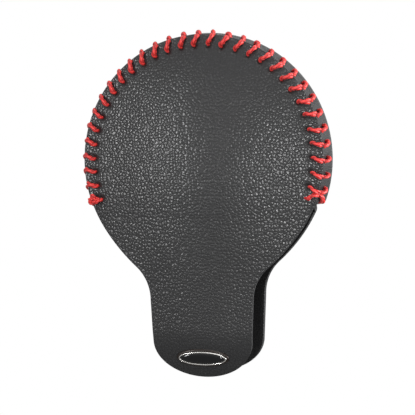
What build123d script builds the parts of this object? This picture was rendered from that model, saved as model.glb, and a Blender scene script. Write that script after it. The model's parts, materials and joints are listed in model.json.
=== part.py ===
from build123d import *

import os
from math import asin, cos, degrees, radians, sin, sqrt

# Hand-sewn leather cover for a flat gear knob: two keyhole panels, one seam, one badge.
#
# The X axis runs across the cover, Y from the front panel to the back panel and Z up.
# The origin is the centre of the seam circle, where the middle of the knob sits.
# All sizes are in millimetres.

# ---------------------------------------------------------------- driving dimensions
LEATHER = 1.2  # thickness of the panels
HEAD_R = 37.0  # radius of the round head, which is also the seam's radius
TONGUE_TOP = 15.9  # half width of the tongue where the throat ends
TONGUE_END = 15.3  # half width of the tongue where its rounded tip starts
THROAT_Z = -42.0  # height where the throat runs into the tongue
TIP_TOP_Z = -54.4  # height where the rounded tip starts
TIP_Z = -65.2  # lowest point of the front panel
SHOULDER_ANGLE = -35.0  # where the outline leaves the head's circle, in degrees
SHOULDER_END = (20.3, -32.3)  # where the convex shoulder turns into the hollow throat
BACK_RISE = 1.6  # the dished back panel hangs this much higher than the front one

FRONT_CROWN = 3.4  # rise of the front panel's middle over its edge
WALL_START = (HEAD_R + 0.5, 0.3)  # the back wall's outer corner at the seam
WALL_LENGTH = 4.8  # straight part of the back wall
WALL_LEAN = 4.0  # outward lean of that wall, in degrees
WALL_CORNER = 8.0  # outer radius from the wall into the back
BACK_SLOPE = 2.4  # slope of the back where the corner ends, in degrees

BEND_Z = -18.0  # height of the line that each flap bends about
BEND_GAP = 1.0  # space left between a crown and its flap at that line
FRONT_LEAN = 3.7  # backward lean of the front flap, in degrees
FRONT_CURL_Z = -50.5  # where the front tongue starts to curl back
FRONT_CURL_R = 32.0  # outer radius of that curl
FRONT_CURL_ARC = 50.0  # drawn arc of that curl, in degrees, more than the tongue needs
BACK_LEAN = 2.0  # backward lean of the back flap
BACK_BOW_R = 110.0  # bow of the back flap across its width

THREAD_R = 0.62  # radius of the doubled waxed thread
STITCHES = 31
STITCH_PITCH = 7.15  # degrees from one stitch to the next
FIRST_STITCH = -14.4  # the lowest stitch on the right, in degrees
STITCH_REACH = 3.9  # from a needle hole to the panel's cut edge
STITCH_SLANT = 1.0  # half of the distance that a stitch advances along the seam
END_STITCH = -18.1  # the last stitch on the right, where the thread is fastened off
END_SLANT = -1.7  # that stitch slants this many times as far, the other way
SEAM_DIP = 0.4  # a run ends this far outside the seam circle and beside its plane
FRONT_TOP = 1.5  # a front run is highest this far inside the seam
WALL_RISE = 0.7  # the back wall's holes lie this far outside the seam circle
INNER_START = 1.8  # an inner run of the front starts this far inside the seam
INNER_SWING = 2.8  # and is this far inside it halfway
INNER_SLACK = 0.5  # slack of an inner run, sideways and in depth
HOLE_PULL = 0.1  # an inner run is this much nearer the leather at its hole
BACK_START = 2.04  # an inner run of the back starts this far behind the seam plane
BACK_SWING = 3.3  # and is this far behind it halfway

START_KNOT = 200.1  # where the thread starts on the left
KNOT_FOOT = (1.76, 1.43)  # half sizes of the starting knot where it meets the leather
KNOT_TOP = (0.88, 0.66)  # half sizes of its top
KNOT_HEIGHT = 1.1
KNOT_INSET = 1.3  # from the seam to the knot's middle
KNOT_TILT = 0.1  # its top leans outwards by this much
KNOT_ROUND = 0.22  # rounding of its top

BADGE_WIDTH = 16.3
BADGE_HEIGHT = 5.9
BADGE_BASE = 0.9  # thickness of the base
BASE_BEVEL = 0.6  # the base's top is this much smaller all round
BADGE_Z = -59.3  # height of the badge's middle
BADGE_AIR = 0.05  # the flat base stands off the curled leather by this much
RIM_WIDTH = 0.55
RIM_HEIGHT = 0.45
RIM_INSET = 0.75  # from the base's outline to the rim's
DOME_HEIGHT = 0.6
DOME_SHOULDER = 0.6  # the dome's flat top is this much smaller all round
FIT = 0.05  # clearance between the badge's own pieces
PIN_R = 0.6
PIN_X = 5.0  # the two pins stand this far from the middle
PIN_DRILL = 7.2  # drilled depth of each pin hole, which passes the leather both ways
PIN_HEAD_R = 1.0
PIN_HEAD = 0.4
PLATE_AIR = 0.15  # the flat backing plate stands off the hollow inside of the curl
PLATE_INSET = 1.6  # from the base's outline to the backing plate's
PLATE = 0.5  # thickness of the backing plate

# ---------------------------------------------------------------- values that follow
CROWN_R = (HEAD_R**2 + FRONT_CROWN**2) / (2 * FRONT_CROWN)
REACH = 60.0  # longer than any sheet is wide or deep
os.makedirs("parts", exist_ok=True)


def save(part, label):
    """Label a finished piece and write it to its own file."""
    part.label = label
    export_step(part, f"parts/{label}.step")


def front_face_y(radius):
    """Depth of the front panel's outer face at a distance from the head's centre."""
    return CROWN_R - sqrt(CROWN_R**2 - radius**2) - FRONT_CROWN - LEATHER


def panel_outline(rise):
    """The keyhole outline of one panel, its shoulders and tongue raised by some amount."""
    turn = radians(SHOULDER_ANGLE)
    with BuildSketch() as outline:
        Circle(HEAD_R)
        with BuildLine():
            leave = (HEAD_R * cos(turn), HEAD_R * sin(turn))
            hollow = (SHOULDER_END[0], SHOULDER_END[1] + rise)
            shoulder = TangentArc(leave, hollow, tangent=(sin(turn), -cos(turn)))
            throat = TangentArc(hollow, (TONGUE_TOP, THROAT_Z + rise), tangent=shoulder % 1)
            side = Line(throat @ 1, (TONGUE_END, TIP_TOP_Z + rise / 2))
            tip_height = TIP_TOP_Z - TIP_Z
            EllipticalCenterArc(
                center=(0, TIP_TOP_Z + rise / 2),
                x_radius=TONGUE_END,
                y_radius=tip_height,
                start_angle=-90,
                arc_size=90,
            )
            Line((0, TIP_TOP_Z + rise / 2 - tip_height), (0, 0))
            Line((0, 0), leave)
        make_face()
        mirror(about=Plane.YZ)
    return outline.sketch


def back_wall_line(inset):
    """Half of the back panel's section: wall, corner and shallow back, moved in by inset."""
    lean = radians(90 - WALL_LEAN)
    start = (WALL_START[0] - inset * sin(lean), WALL_START[1] + inset * cos(lean))
    wall = PolarLine(start, WALL_LENGTH, 90 - WALL_LEAN)
    corner = JernArc(wall @ 1, wall % 1, WALL_CORNER - inset, 90 + WALL_LEAN - BACK_SLOPE)
    dome_r = (corner @ 1).X / sin(radians(BACK_SLOPE))
    back = JernArc(corner @ 1, corner % 1, dome_r, BACK_SLOPE)
    return wall @ 0, back @ 1, dome_r


def hung_flap(hang_line, bow_r, outward, rise):
    """A bowed sheet of leather that follows hang_line, cut to the outline below the bend.

    hang_line runs down the middle of the outer face; outward is 1 if that face looks to -Y.
    """
    sag = outward * (bow_r - sqrt(bow_r**2 - HEAD_R**2))
    skin = outward * LEATHER
    top = hang_line.edges().sort_by(Axis.Z)[-1]
    with BuildPart() as flap:
        with BuildSketch(Plane(origin=top @ 0, x_dir=(1, 0, 0), z_dir=top % 0)):
            with BuildLine():
                face = ThreePointArc((-HEAD_R, -sag), (0, 0), (HEAD_R, -sag))
                inside = ThreePointArc((HEAD_R, -sag - skin), (0, -skin), (-HEAD_R, -sag - skin))
                Line(face @ 1, inside @ 0)
                Line(inside @ 1, face @ 0)
            make_face()
        sweep(path=hang_line)
        with BuildSketch(Plane.XZ):
            add(panel_outline(rise))
        extrude(amount=REACH, both=True, mode=Mode.INTERSECT)
        split(bisect_by=Plane.XY.offset(BEND_Z - BEND_GAP / 2), keep=Keep.BOTTOM)
    return flap.part


def stitch(start, top, end):
    """One visible or hidden run of thread, arched through three points."""
    with BuildPart() as run:
        with BuildLine():
            arch = ThreePointArc(start, top, end)
        with BuildSketch(Plane(origin=arch @ 0, z_dir=arch % 0)):
            Circle(THREAD_R)
        sweep()
    return run.part


def around_seam(run, count, first):
    """Copies of one run of thread, each turned one pitch further round the seam."""
    with BuildPart(Plane.XZ) as row:
        with PolarLocations(0, count, first, (count - 1) * STITCH_PITCH, endpoint=True):
            add(run)
    return row.part


# ---------------------------------------------------------------- front panel
with BuildPart() as front_panel_crown:
    with BuildSketch():
        with BuildLine():
            outer = RadiusArc((0, -FRONT_CROWN - LEATHER), (HEAD_R, -LEATHER), -CROWN_R)
            edge = Line(outer @ 1, (HEAD_R, 0))
            inner = RadiusArc(edge @ 1, (0, -FRONT_CROWN), CROWN_R)
            Line(inner @ 1, outer @ 0)
        make_face()
    revolve(axis=Axis.Y)
    split(bisect_by=Plane.XY.offset(BEND_Z + BEND_GAP / 2), keep=Keep.TOP)
save(front_panel_crown.part, "front_panel_crown")

with BuildLine(Plane.YZ) as front_hang:
    hang = PolarLine((front_face_y(BEND_Z), BEND_Z), BEND_Z - FRONT_CURL_Z, FRONT_LEAN - 90)
    curl = JernArc(hang @ 1, hang % 1, FRONT_CURL_R, FRONT_CURL_ARC)

# The badge sits square to the curl at its own height.
badge_turn = degrees(asin(sin(radians(FRONT_LEAN)) + (FRONT_CURL_Z - BADGE_Z) / FRONT_CURL_R))
badge_spot = curl.position_at((badge_turn - FRONT_LEAN) / FRONT_CURL_ARC)
badge_out = Vector(0, -cos(radians(badge_turn)), -sin(radians(badge_turn)))
badge_seat = Plane(origin=badge_spot, x_dir=(1, 0, 0), z_dir=badge_out)

with BuildPart() as front_panel_flap:
    add(hung_flap(front_hang.line, CROWN_R, 1, 0))
    with Locations(badge_seat):
        with Locations((-PIN_X, 0), (PIN_X, 0)):
            Cylinder(PIN_R + FIT, PIN_DRILL, mode=Mode.SUBTRACT)
save(front_panel_flap.part, "front_panel_flap")

# ---------------------------------------------------------------- back panel
with BuildPart() as back_panel_crown:
    with BuildSketch():
        with BuildLine():
            outer_seam, outer_middle, outer_r = back_wall_line(0)
            inner_seam, inner_middle, _ = back_wall_line(LEATHER)
            Line(outer_seam, inner_seam)
            Line(outer_middle, inner_middle)
        make_face()
    revolve(axis=Axis.Y)
    split(bisect_by=Plane.XY.offset(BEND_Z + BEND_GAP / 2), keep=Keep.TOP)
save(back_panel_crown.part, "back_panel_crown")

back_bend_y = outer_middle.Y - outer_r + sqrt(outer_r**2 - BEND_Z**2)
print("bend lines at y", round(front_face_y(BEND_Z), 4), "and", round(back_bend_y, 4))
with BuildLine(Plane.YZ) as back_hang:
    PolarLine((back_bend_y, BEND_Z), REACH, BACK_LEAN - 90)
back_panel_flap = hung_flap(back_hang.line, BACK_BOW_R, -1, BACK_RISE)
save(back_panel_flap, "back_panel_flap")

# ---------------------------------------------------------------- thread
# Local to the seam's plane: x runs out from the centre, y along the seam, z to the front.
hole_r = HEAD_R - STITCH_REACH
hole_z = -front_face_y(hole_r)
wall_r = HEAD_R + WALL_RISE
seam_r = HEAD_R + SEAM_DIP
inside_r = wall_r - LEATHER - THREAD_R
pitch = radians(STITCH_PITCH) * HEAD_R


def front_run(slant):
    """A run from its hole in the front panel over the edge and into the seam."""
    hole = (hole_r, slant, hole_z - THREAD_R)
    return stitch(hole, (HEAD_R - FRONT_TOP, 0, hole_z + THREAD_R), (seam_r, -slant, SEAM_DIP))


def back_run(slant):
    """A run from its hole in the back panel's wall to the seam."""
    hole = (wall_r - THREAD_R, slant, -STITCH_REACH)
    top = (wall_r + THREAD_R, 0, -STITCH_REACH / 2)
    return stitch(hole, top, (seam_r, -slant, -SEAM_DIP))


save(around_seam(front_run(STITCH_SLANT), STITCHES, FIRST_STITCH), "front_stitches")
save(around_seam(back_run(STITCH_SLANT), STITCHES, FIRST_STITCH), "back_stitches")

# Inside, each thread dives from the seam and comes up at the next hole of the other panel.
first_inner = FIRST_STITCH + STITCH_PITCH
dive = -STITCH_SLANT - INNER_SLACK
rise = STITCH_SLANT - pitch + INNER_SLACK
inner_front_run = stitch(
    (HEAD_R - INNER_START, dive, -THREAD_R),
    (HEAD_R - INNER_SWING, -pitch / 2, -THREAD_R - INNER_SLACK),
    (hole_r, rise, -THREAD_R + HOLE_PULL),
)
save(around_seam(inner_front_run, STITCHES - 1, first_inner), "inner_front_stitches")

inner_back_run = stitch(
    (inside_r - HOLE_PULL, dive, -BACK_START),
    (inside_r - INNER_SLACK, -pitch / 2, -BACK_SWING),
    (inside_r, rise, -STITCH_REACH),
)
save(around_seam(inner_back_run, STITCHES - 1, first_inner), "inner_back_stitches")

# On the right the thread is fastened off with one stitch the other way on each panel.
end_slant = END_SLANT * STITCH_SLANT
for end_run, label in (
    (front_run(end_slant), "front_end_stitch"),
    (back_run(end_slant), "back_end_stitch"),
):
    with BuildPart(Plane.XZ) as end_stitch:
        with PolarLocations(0, 1, END_STITCH):
            add(end_run)
    save(end_stitch.part, label)

# On the left it starts with an overhand knot that lies on the first stitch.
knot_turn = radians(START_KNOT)
knot_seat = Plane(origin=(0, 0, 0), x_dir=(cos(knot_turn), 0, sin(knot_turn)), z_dir=(0, -1, 0))
with BuildPart() as start_knot:
    with BuildSketch(knot_seat.offset(hole_z + THREAD_R)):
        with Locations((HEAD_R - KNOT_INSET, 0)):
            Ellipse(*KNOT_FOOT)
    with BuildSketch(knot_seat.offset(hole_z + THREAD_R + KNOT_HEIGHT)):
        with Locations((HEAD_R - KNOT_INSET + KNOT_TILT, 0)):
            Ellipse(*KNOT_TOP)
    loft()
    fillet(start_knot.faces().sort_by(Axis.Y).first.edges(), KNOT_ROUND)
save(start_knot.part, "start_knot")

# ---------------------------------------------------------------- badge
# Each piece is stacked on the badge seat, which faces out of the leather.
with BuildPart() as badge_base:
    with BuildSketch(badge_seat.offset(BADGE_AIR)):
        Ellipse(BADGE_WIDTH / 2, BADGE_HEIGHT / 2)
    with BuildSketch(badge_seat.offset(BADGE_AIR + BADGE_BASE)):
        Ellipse(BADGE_WIDTH / 2 - BASE_BEVEL, BADGE_HEIGHT / 2 - BASE_BEVEL)
    loft()
save(badge_base.part, "badge_base")

rim_x = BADGE_WIDTH / 2 - RIM_INSET
rim_y = BADGE_HEIGHT / 2 - RIM_INSET
with BuildPart() as badge_rim:
    with BuildSketch(badge_seat.offset(BADGE_AIR + BADGE_BASE)):
        Ellipse(rim_x, rim_y)
        Ellipse(rim_x - RIM_WIDTH, rim_y - RIM_WIDTH, mode=Mode.SUBTRACT)
    extrude(amount=RIM_HEIGHT)
save(badge_rim.part, "badge_rim")

with BuildPart() as badge_dome:
    with BuildSketch(badge_seat.offset(BADGE_AIR + BADGE_BASE)):
        Ellipse(rim_x - RIM_WIDTH - FIT, rim_y - RIM_WIDTH - FIT)
    with BuildSketch(badge_seat.offset(BADGE_AIR + BADGE_BASE + DOME_HEIGHT)):
        Ellipse(rim_x - RIM_WIDTH - DOME_SHOULDER, rim_y - RIM_WIDTH - DOME_SHOULDER)
    loft()
save(badge_dome.part, "badge_dome")

with BuildPart() as badge_backing_plate:
    with BuildSketch(badge_seat.offset(-LEATHER - PLATE_AIR)):
        Ellipse(BADGE_WIDTH / 2 - PLATE_INSET, BADGE_HEIGHT / 2 - PLATE_INSET / 2)
        with Locations((-PIN_X, 0), (PIN_X, 0)):
            Circle(PIN_R + FIT, mode=Mode.SUBTRACT)
    extrude(amount=-PLATE)
save(badge_backing_plate.part, "badge_backing_plate")

pin_length = BADGE_AIR + LEATHER + PLATE_AIR + PLATE + FIT
with BuildPart() as badge_pins:
    with BuildSketch(badge_seat.offset(BADGE_AIR)):
        with Locations((-PIN_X, 0), (PIN_X, 0)):
            Circle(PIN_R)
    extrude(amount=-pin_length)
    with BuildSketch(badge_seat.offset(BADGE_AIR - pin_length)):
        with Locations((-PIN_X, 0), (PIN_X, 0)):
            Circle(PIN_HEAD_R)
    extrude(amount=-PIN_HEAD)
save(badge_pins.part, "badge_pins")
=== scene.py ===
"""Looks of a hand-sewn leather gear knob cover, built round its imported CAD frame.

Lengths inside the classes are millimetres in the cover's own frame: X across, Y from the
front panel to the back panel, Z up, with the origin at the centre of the seam circle.
Meshes are written in metres.
"""
import json
import logging
import math
import random
from dataclasses import dataclass, field, replace
from enum import Enum
from functools import partial
from typing import Callable, Iterable, Sequence

import bpy
import numpy as np
from mathutils import Matrix, Vector


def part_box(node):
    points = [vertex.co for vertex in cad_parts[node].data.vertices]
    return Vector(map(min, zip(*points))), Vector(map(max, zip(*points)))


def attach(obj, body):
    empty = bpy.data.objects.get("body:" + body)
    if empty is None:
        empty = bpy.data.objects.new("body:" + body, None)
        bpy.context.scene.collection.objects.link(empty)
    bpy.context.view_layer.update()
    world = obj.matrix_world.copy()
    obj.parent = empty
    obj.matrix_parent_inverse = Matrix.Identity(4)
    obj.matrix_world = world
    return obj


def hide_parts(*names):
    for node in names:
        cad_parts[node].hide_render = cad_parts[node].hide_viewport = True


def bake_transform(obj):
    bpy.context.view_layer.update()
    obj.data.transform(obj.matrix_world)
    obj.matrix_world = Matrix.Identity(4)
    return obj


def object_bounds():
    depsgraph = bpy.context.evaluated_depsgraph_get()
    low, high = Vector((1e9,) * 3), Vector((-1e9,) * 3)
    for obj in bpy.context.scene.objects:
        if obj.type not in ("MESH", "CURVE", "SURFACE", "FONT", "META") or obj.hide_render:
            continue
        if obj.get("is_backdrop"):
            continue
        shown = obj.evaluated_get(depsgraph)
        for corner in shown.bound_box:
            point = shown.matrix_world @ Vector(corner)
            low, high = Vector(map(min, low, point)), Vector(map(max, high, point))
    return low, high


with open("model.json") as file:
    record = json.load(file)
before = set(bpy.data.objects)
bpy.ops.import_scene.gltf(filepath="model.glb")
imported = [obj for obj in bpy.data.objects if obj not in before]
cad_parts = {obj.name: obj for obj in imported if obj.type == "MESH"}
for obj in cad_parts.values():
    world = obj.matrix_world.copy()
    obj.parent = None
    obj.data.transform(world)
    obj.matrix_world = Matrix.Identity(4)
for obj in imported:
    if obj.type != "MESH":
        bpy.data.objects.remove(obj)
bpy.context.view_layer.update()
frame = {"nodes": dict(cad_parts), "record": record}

MM = 0.001
WELD_MM = 0.002  # points nearer than this are one point
SMOOTH_ANGLE = 50.0  # edges sharper than this, in degrees, stay crisp
BACK_RISE = 1.6  # the dished back panel hangs this much higher than the front one
BACK_EASE = 1.1  # and its free head is this much smaller, as its margin draws it in
LOG = logging.getLogger("knob_cover")

Array = np.ndarray
Material = bpy.types.Material
Node = bpy.types.Node
Object = bpy.types.Object


# ------------------------------------------------------------------ small helpers
def node_box(name: str) -> tuple[Vector, Vector]:
    """Lowest and highest corner of a CAD node, in millimetres."""
    low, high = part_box(name)
    return low / MM, high / MM


def joint_at(name: str) -> Vector:
    """The point in the record that a joint's axis passes through, in millimetres."""
    joints = frame["record"]["behaviour"]["joints"]
    return Vector(next(j["pos_m"] for j in joints if j["name"] == name)) / MM


def round_angle(way: Array) -> Array:
    """Angle of each direction in X and Z, from -90 at the tongue on the right to 270."""
    angle = np.degrees(np.arctan2(way[:, 1], way[:, 0]))
    return np.where(angle < -90, angle + 360, angle)


def side_angle(way: Array) -> Array:
    """Angle of each direction in X and Z, from -90 at the tongue to 90 at the top."""
    return np.degrees(np.arctan2(way[:, 1], np.abs(way[:, 0])))


def unit(vectors: Array) -> Array:
    """The same directions, each one long."""
    return vectors / np.linalg.norm(vectors, axis=1)[:, None]


def smoothstep(value: Array | float) -> Array:
    """A clamped S curve: 0 at and below 0, 1 at and above 1."""
    t = np.clip(value, 0.0, 1.0)
    return t * t * (3 - 2 * t)


def mix(a: Array | float, b: Array | float, share: Array | float) -> Array:
    """A linear blend, a at share 0 and b at share 1."""
    return a + (b - a) * share


def linear(hex_colour: str) -> tuple[float, float, float, float]:
    """Turn an sRGB hex colour to linear values.

    Args:
        hex_colour: six hex digits, with or without a leading hash.

    Returns:
        Red, green, blue and alpha.
    """
    digits = hex_colour.lstrip("#")
    parts = [int(digits[i : i + 2], 16) / 255 for i in (0, 2, 4)]
    curve = [p / 12.92 if p <= 0.04045 else ((p + 0.055) / 1.055) ** 2.4 for p in parts]
    return (*curve, 1.0)


def select_only(*objects: Object) -> None:
    """Select just these objects and make the first one active.

    Args:
        objects: the objects to select.
    """
    bpy.ops.object.select_all(action="DESELECT")
    for each in objects:
        each.select_set(True)
    bpy.context.view_layer.objects.active = objects[0]


def edit(obj: Object, *steps: Callable[[], object]) -> None:
    """Run edit-mode operators on everything in one mesh.

    Args:
        obj: the mesh object.
        steps: calls that run one operator each.
    """
    select_only(obj)
    bpy.ops.object.mode_set(mode="EDIT")
    bpy.ops.mesh.select_all(action="SELECT")
    for step in steps:
        step()
    bpy.ops.object.mode_set(mode="OBJECT")


def apply_modifier(obj: Object, kind: str, **settings: object) -> None:
    """Add one modifier with its settings and apply it.

    Args:
        obj: the mesh object.
        kind: the modifier's type.
        settings: attributes of the modifier.
    """
    select_only(obj)
    modifier = obj.modifiers.new(kind.title(), kind)
    for name, value in settings.items():
        setattr(modifier, name, value)
    bpy.ops.object.modifier_apply(modifier=modifier.name)


def mapped_grid(
    name: str, columns: int, rows: int, place: Callable[[Array, Array], tuple[Array, ...]]
) -> Object:
    """Add a grid and drape it over a surface.

    Args:
        name: the new object's name.
        columns: quads along the grid's first direction.
        rows: quads along its second direction.
        place: takes both grid positions, 0 to 1, and returns points and pattern
            positions, both in millimetres, and how much painted shade the needle holes give each
            point.

    Returns:
        The draped mesh, in metres, with its pattern as a UV map and the painted shade
        round the needle holes as an attribute.
    """
    bpy.ops.object.select_all(action="DESELECT")
    bpy.ops.mesh.primitive_grid_add(x_subdivisions=columns, y_subdivisions=rows, size=2)
    obj = bpy.context.object
    obj.name = obj.data.name = name
    mesh = obj.data
    flat = np.zeros(len(mesh.vertices) * 3)
    mesh.vertices.foreach_get("co", flat)
    flat = flat.reshape(-1, 3)
    points, pattern, painted_hole_shade = place((flat[:, 0] + 1) / 2, (flat[:, 1] + 1) / 2)
    mesh.vertices.foreach_set("co", (points * MM).ravel())
    # Painted shade: how dark the needle holes make each point, kept for the leather's colour.
    attribute = mesh.attributes.new("PaintedHoleShade", "FLOAT", "POINT")
    attribute.data.foreach_set("value", painted_hole_shade.astype(np.float32))
    corner = np.zeros(len(mesh.loops), np.int32)
    mesh.loops.foreach_get("vertex_index", corner)
    layer = mesh.uv_layers.active or mesh.uv_layers.new(name="Pattern")
    layer.name = "Pattern"
    layer.data.foreach_set("uv", (pattern[corner] * MM).astype(np.float32).ravel())
    mesh.update()
    return obj


def weld(obj: Object, close: bool = False) -> None:
    """Merge doubled points, and close open ends if asked.

    Args:
        obj: the mesh object.
        close: fill the holes and turn all faces outwards.
    """
    steps = [lambda: bpy.ops.mesh.remove_doubles(threshold=WELD_MM * MM)]
    if close:
        steps.append(lambda: bpy.ops.mesh.select_all(action="SELECT"))
        steps.append(lambda: bpy.ops.mesh.fill_holes(sides=0))
        steps.append(lambda: bpy.ops.mesh.select_all(action="SELECT"))
        steps.append(lambda: bpy.ops.mesh.normals_make_consistent(inside=False))
    edit(obj, *steps)


def join(name: str, objects: Sequence[Object]) -> Object:
    """Join objects into one mesh.

    Args:
        name: the joined object's name.
        objects: the objects to join.

    Returns:
        The joined object.
    """
    select_only(*objects)
    if len(objects) > 1:
        bpy.ops.object.join()
    obj = bpy.context.object
    obj.name = obj.data.name = name
    return obj


def dress(obj: Object, *materials: Material) -> None:
    """Give a mesh its materials, in slot order, and smooth shading.

    Args:
        obj: the mesh object.
        materials: one material per slot.
    """
    obj.data.materials.clear()
    for material in materials:
        obj.data.materials.append(material)
    select_only(obj)
    bpy.ops.object.shade_smooth_by_angle(angle=math.radians(SMOOTH_ANGLE))


def report(obj: Object) -> None:
    """Log one finished piece, with its faces and its size."""
    size = ", ".join(f"{side / MM:.1f}" for side in obj.dimensions)
    LOG.info("%s: %d faces, %s mm", obj.name, len(obj.data.polygons), size)


# ------------------------------------------------------------------ materials
class Board:
    """The node tree of one new material."""

    def __init__(self, name: str) -> None:
        """Start a material with an empty tree, a shader and an output.

        Args:
            name: the material's name.
        """
        self.material = bpy.data.materials.new(name)
        self.material.use_nodes = True
        self.tree = self.material.node_tree
        self.tree.nodes.clear()
        self.shader = self.add("ShaderNodeBsdfPrincipled")
        output = self.add("ShaderNodeOutputMaterial")
        self.tree.links.new(self.shader.outputs["BSDF"], output.inputs["Surface"])

    def add(
        self,
        kind: str,
        settings: dict[str, object] | None = None,
        inputs: dict[str | int, object] | None = None,
    ) -> Node:
        """Add one node.

        Args:
            kind: the node's type.
            settings: attributes of the node.
            inputs: a value, or a socket to link from, for each named input.

        Returns:
            The new node.
        """
        node = self.tree.nodes.new(kind)
        for name, value in (settings or {}).items():
            setattr(node, name, value)
        for name, value in (inputs or {}).items():
            if isinstance(value, bpy.types.NodeSocket):
                self.tree.links.new(value, node.inputs[name])
            else:
                node.inputs[name].default_value = value
        return node

    def set(self, **inputs: object) -> None:
        """Set or link the shader's inputs, named with underscores for spaces.

        Args:
            inputs: a value, or a socket to link from, for each input.
        """
        for name, value in inputs.items():
            socket = self.shader.inputs[name.replace("_", " ")]
            if isinstance(value, bpy.types.NodeSocket):
                self.tree.links.new(value, socket)
            else:
                socket.default_value = value


@dataclass(frozen=True)
class PebbledLeather:
    """Black cow-grain leather, drum-milled so that it breaks into small pebbles.

    The pebbles carry a soft satin finish and catch the light one by one; the valleys
    between them are matt and painted darker, as painted shade in the grooves, and the
    needle holes are painted near black, as painted shade. Sizes named without mm are
    shares of one pebble's width or height.
    """

    name: str = "Black pebbled leather"
    top_colour: str = "#2a2a2b"
    # Painted shade in the grooves between the pebbles.
    valley_shade_colour: str = "#101011"
    # Painted shade in the needle holes.
    hole_shade_colour: str = "#050505"
    pebble_mm: float = 0.95
    pore_mm: float = 0.22
    drift_mm: float = 11.0
    depth_mm: float = 0.03
    uneven: float = 0.92
    wander_size: float = 1.3
    wander_reach: float = 0.7
    tilt_size: float = 1.9
    pore_depth: float = 0.08
    groove_share: float = 0.25
    groove_depth: float = 0.6
    tilt_share: float = 0.35
    satin: float = 0.23
    matt: float = 0.7

    def make(self) -> Material:
        """Build the material.

        Returns:
            The leather.
        """
        board = Board(self.name)
        uv = board.add("ShaderNodeUVMap", {"uv_map": "Pattern"}).outputs["UV"]
        wander = board.add(
            "ShaderNodeTexNoise", {"noise_dimensions": "2D"},
            {"Vector": uv, "Scale": 1 / (self.wander_size * self.pebble_mm * MM), "Detail": 2.0},
        )
        offset = board.add(
            "ShaderNodeVectorMath", {"operation": "MULTIPLY_ADD"},
            {0: wander.outputs["Color"], 1: (self.wander_reach * self.pebble_mm * MM,) * 3, 2: uv},
        ).outputs[0]
        edge = board.add(
            "ShaderNodeTexVoronoi", {"voronoi_dimensions": "2D", "feature": "DISTANCE_TO_EDGE"},
            {"Vector": offset, "Scale": 1 / (self.pebble_mm * MM), "Randomness": self.uneven},
        ).outputs["Distance"]
        middle = board.add(
            "ShaderNodeTexVoronoi", {"voronoi_dimensions": "2D", "feature": "F1"},
            {"Vector": offset, "Scale": 1 / (self.pebble_mm * MM), "Randomness": self.uneven},
        ).outputs["Distance"]
        dome = board.add(
            "ShaderNodeMapRange", {"interpolation_type": "SMOOTHSTEP"},
            {"Value": middle, "From Min": 0.7, "From Max": 0.0},
        ).outputs["Result"]
        groove = board.add(
            "ShaderNodeMapRange", {"interpolation_type": "SMOOTHSTEP"},
            {"Value": edge, "From Min": 0.0, "From Max": self.groove_share},
        ).outputs["Result"]
        tilt = board.add(
            "ShaderNodeTexNoise", {"noise_dimensions": "2D"},
            {"Vector": uv, "Scale": 1 / (self.tilt_size * self.pebble_mm * MM), "Detail": 1.0},
        ).outputs["Fac"]
        pore = board.add(
            "ShaderNodeTexNoise", {"noise_dimensions": "2D"},
            {"Vector": uv, "Scale": 1 / (self.pore_mm * MM), "Detail": 2.0, "Roughness": 0.6},
        ).outputs["Fac"]
        drift = board.add(
            "ShaderNodeTexNoise", {"noise_dimensions": "2D"},
            {"Vector": uv, "Scale": 1 / (self.drift_mm * MM), "Detail": 3.0},
        ).outputs["Fac"]
        relief = board.add(
            "ShaderNodeMath", {"operation": "MULTIPLY_ADD"},
            {0: tilt, 1: self.tilt_share, 2: dome},
        ).outputs[0]
        pebble = board.add(
            "ShaderNodeMath", {"operation": "MULTIPLY_ADD"},
            {0: groove, 1: self.groove_depth, 2: relief},
        ).outputs[0]
        fine = board.add(
            "ShaderNodeMath", {"operation": "MULTIPLY_ADD"}, {0: pore, 1: self.pore_depth, 2: pebble}
        ).outputs[0]
        height = board.add(
            "ShaderNodeMath", {"operation": "MULTIPLY_ADD"}, {0: drift, 1: 1.0, 2: fine}
        ).outputs[0]
        bump = board.add(
            "ShaderNodeBump", {},
            {"Height": height, "Strength": 1.0, "Distance": self.depth_mm * MM},
        ).outputs["Normal"]
        # Painted shade: the grooves between the pebbles get the darker valley colour.
        grain = board.add(
            "ShaderNodeMix", {"data_type": "RGBA"},
            {"Factor": groove, 6: linear(self.valley_shade_colour), 7: linear(self.top_colour)},
        ).outputs[2]
        # Painted shade: the needle holes and the leather round them are painted near black.
        painted_hole_shade = board.add("ShaderNodeAttribute", {"attribute_name": "PaintedHoleShade"}).outputs["Fac"]
        colour = board.add(
            "ShaderNodeMix", {"data_type": "RGBA"},
            {"Factor": painted_hole_shade, 6: grain, 7: linear(self.hole_shade_colour)},
        ).outputs[2]
        rough = board.add(
            "ShaderNodeMapRange", {},
            {"Value": groove, "To Min": self.matt, "To Max": self.satin},
        ).outputs["Result"]
        board.set(Base_Color=colour, Roughness=rough, Normal=bump)
        board.set(IOR=1.5, Specular_IOR_Level=0.5)
        return board.material


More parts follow.
